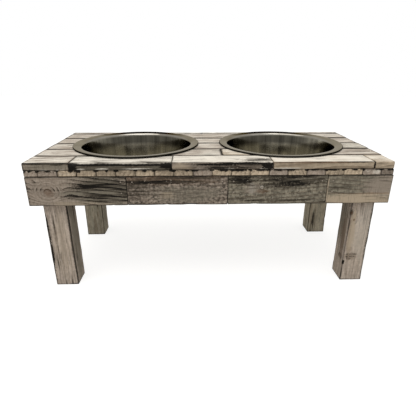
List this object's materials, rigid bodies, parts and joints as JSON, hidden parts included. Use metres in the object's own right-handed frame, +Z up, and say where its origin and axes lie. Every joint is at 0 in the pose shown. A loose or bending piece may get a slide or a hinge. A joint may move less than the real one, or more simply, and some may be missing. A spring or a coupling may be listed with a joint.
{
  "type": "elevated dog feeder",
  "caption": "Low slatted wooden table on square legs that holds drop-in steel bowls at a dog's feeding height.",
  "frame": {"origin": "on the floor, under the middle of the table", "axes": "+X along the table to the right as seen from the front, +Y to the back, +Z up"},
  "size_m": [0.6, 0.273, 0.236],
  "materials": {
    "top_wood": "whitewashed, worn",
    "cross_wood": "whitewashed, worn",
    "apron_wood": "weathered grey",
    "leg_wood": "weathered grey",
    "rail_wood": "bare",
    "bowl_steel": "polished",
    "fastener_steel": "plain"
  },
  "bodies": {
    "stand": {"apron_brads": "fastener_steel", "back_apron_board_1": "apron_wood", "back_apron_board_2": "apron_wood", "back_apron_board_3": "apron_wood", "back_apron_board_4": "apron_wood", "back_left_leg": "leg_wood", "back_rail": "rail_wood", "back_right_leg": "leg_wood", "cross_brads": "fastener_steel", "cross_slat_pair_01": "cross_wood", "cross_slat_pair_02": "cross_wood", "cross_slat_pair_03": "cross_wood", "cross_slat_pair_04": "cross_wood", "cross_slat_pair_05": "cross_wood", "cross_slat_pair_06": "cross_wood", "cross_slat_pair_07": "cross_wood", "cross_slat_pair_08": "cross_wood", "cross_slat_pair_09": "cross_wood", "cross_slat_pair_10": "cross_wood", "front_apron_board_1": "apron_wood", "front_apron_board_2": "apron_wood", "front_apron_board_3": "apron_wood", "front_apron_board_4": "apron_wood", "front_left_leg": "leg_wood", "front_rail": "rail_wood", "front_right_leg": "leg_wood", "left_apron_board_1": "apron_wood", "left_apron_board_2": "apron_wood", "left_rail": "rail_wood", "leg_screws": "fastener_steel", "right_apron_board_1": "apron_wood", "right_apron_board_2": "apron_wood", "right_rail": "rail_wood", "top_brads": "fastener_steel", "top_slat_1a": "top_wood", "top_slat_1b": "top_wood", "top_slat_1c": "top_wood", "top_slat_1d": "top_wood", "top_slat_1e": "top_wood", "top_slat_2a": "top_wood", "top_slat_2b": "top_wood", "top_slat_2c": "top_wood", "top_slat_2d": "top_wood", "top_slat_3a": "top_wood", "top_slat_3b": "top_wood", "top_slat_3c": "top_wood", "top_slat_4a": "top_wood", "top_slat_4b": "top_wood", "top_slat_4c": "top_wood", "top_slat_5a": "top_wood", "top_slat_5b": "top_wood", "top_slat_5c": "top_wood", "top_slat_6a": "top_wood", "top_slat_6b": "top_wood", "top_slat_6c": "top_wood", "top_slat_6d": "top_wood"},
    "left_bowl": {"left_bowl": "bowl_steel"},
    "right_bowl": {"right_bowl": "bowl_steel"}
  },
  "joints": [
    {"name": "left_bowl_lift", "type": "slide", "parent": "stand", "child": "left_bowl", "axis": [0, 0, 1], "range_m": [0, 0.12]},
    {"name": "right_bowl_lift", "type": "slide", "parent": "stand", "child": "right_bowl", "axis": [0, 0, 1], "range_m": [0, 0.12]}
  ]
}
